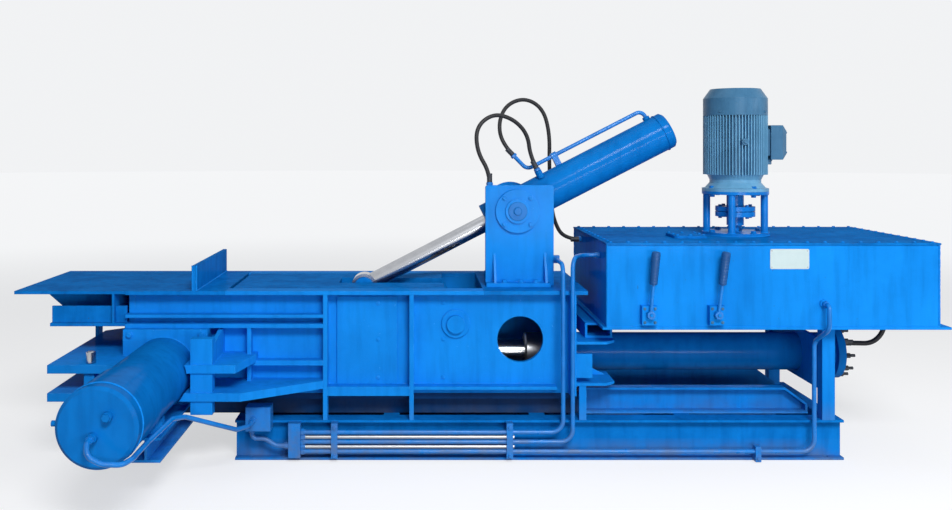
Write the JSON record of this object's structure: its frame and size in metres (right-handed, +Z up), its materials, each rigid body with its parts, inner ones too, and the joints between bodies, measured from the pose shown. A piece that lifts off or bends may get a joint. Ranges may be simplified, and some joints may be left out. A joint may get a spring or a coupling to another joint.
{
  "type": "recycling baler",
  "caption": "Horizontal scrap press with a hinged chamber lid, pushing rams, a side bale gate and a tank with a flange motor on top.",
  "frame": {"origin": "middle of the base, on the floor it stands on", "axes": "+X along the machine from the bale end to the tank end, +Y away from the side cylinder, +Z up"},
  "size_m": [4.66, 2.0859, 1.887],
  "materials": {
    "press_paint": "gloss",
    "base_paint": "gloss",
    "cylinder_paint": "gloss",
    "rod_chrome": "polished",
    "tank_paint": "gloss",
    "motor_paint": "satin",
    "stand_paint": "gloss",
    "pipe_paint": "gloss",
    "bare_steel": "satin",
    "lever_steel": "gloss",
    "hose_rubber": "matte"
  },
  "bodies": {
    "machine": {"chamber_roof": "press_paint", "cross_channels": "base_paint", "discharge_deck": "press_paint", "fan_cowl": "motor_paint", "far_wall": "press_paint", "floor_beams": "press_paint", "floor_plate": "press_paint", "gate_barrel": "cylinder_paint", "gate_guides": "press_paint", "gate_housing": "press_paint", "hydraulic_pipes": "pipe_paint", "left_end_plate": "press_paint", "left_yoke": "press_paint", "lid_pivot_pins": "bare_steel", "lift_brackets": "press_paint", "lift_hose_far": "hose_rubber", "lift_hose_near": "hose_rubber", "main_barrel": "cylinder_paint", "main_gland": "bare_steel", "main_tail_cap": "cylinder_paint", "motor": "motor_paint", "motor_stand": "stand_paint", "near_wall": "press_paint", "oil_tank": "tank_paint", "pipe_clamps": "pipe_paint", "ram_deck": "press_paint", "ram_end_gussets": "press_paint", "ram_end_plate": "press_paint", "right_wing": "press_paint", "side_barrel": "cylinder_paint", "side_cylinder_flange": "press_paint", "side_end_cap": "cylinder_paint", "side_ram_frame": "press_paint", "skid_beams": "base_paint", "steel_pipes": "bare_steel", "suction_hose": "hose_rubber", "tail_bolts": "bare_steel", "tank_cover": "tank_paint", "tank_supports": "tank_paint", "terminal_box": "motor_paint", "trunnion_housings": "press_paint", "valve_blocks": "tank_paint", "wall_flanges": "press_paint", "wall_ribs": "press_paint", "yoke_pin": "bare_steel"},
    "main_ram": {"main_rod": "rod_chrome", "main_pusher_head": "bare_steel"},
    "side_ram": {"side_rod": "rod_chrome", "side_pusher_head": "bare_steel"},
    "lid": {"lid": "press_paint", "lid_lugs": "press_paint"},
    "lift_cylinder": {"lift_barrel": "cylinder_paint", "lift_end_cap": "cylinder_paint", "lift_feed_pipe": "pipe_paint"},
    "lift_rod": {"lift_rod": "rod_chrome"},
    "gate": {"bale_gate": "press_paint", "gate_rod": "rod_chrome"},
    "coupling": {"shaft_coupling": "stand_paint"},
    "lever_left": {"valve_lever_left": "lever_steel"},
    "lever_right": {"valve_lever_right": "lever_steel"}
  },
  "joints": [
    {"name": "main_ram_slide", "type": "slide", "parent": "machine", "child": "main_ram", "axis": [-1, 0, 0], "range_m": [0, 1.06]},
    {"name": "side_ram_slide", "type": "slide", "parent": "machine", "child": "side_ram", "axis": [0, 1, 0], "range_m": [0, 0.59]},
    {"name": "lid_hinge", "type": "hinge", "parent": "machine", "child": "lid", "pos_m": [-0.418, 0, 0.673], "axis": [0, 1, 0], "range_deg": [0, 60]},
    {"name": "lift_tilt", "type": "hinge", "parent": "machine", "child": "lift_cylinder", "pos_m": [-0.09, 0, 1.238], "axis": [0, 1, 0], "range_deg": [0, 20]},
    {"name": "lift_rod_slide", "type": "slide", "parent": "lift_cylinder", "child": "lift_rod", "axis": [0.8895, 0, 0.4569], "range_m": [0, 0.46]},
    {"name": "gate_slide", "type": "slide", "parent": "machine", "child": "gate", "axis": [-1, 0, 0], "range_m": [0, 0.37]},
    {"name": "coupling_spin", "type": "hinge", "parent": "machine", "child": "coupling", "pos_m": [1.115, 0, 1.225], "axis": [0, 0, 1], "continuous": true},
    {"name": "left_lever_swing", "type": "hinge", "parent": "machine", "child": "lever_left", "pos_m": [0.524, -0.547, 0.754], "axis": [0, 1, 0], "range_deg": [-20, 20]},
    {"name": "right_lever_swing", "type": "hinge", "parent": "machine", "child": "lever_right", "pos_m": [0.855, -0.547, 0.754], "axis": [0, 1, 0], "range_deg": [-20, 20]}
  ],
  "couplings": [
    {"joint": "lift_tilt", "follows": "lid_hinge", "ratio": 0.33},
    {"joint": "lift_rod_slide", "follows": "lid_hinge", "m_per_rad": 0.435}
  ]
}
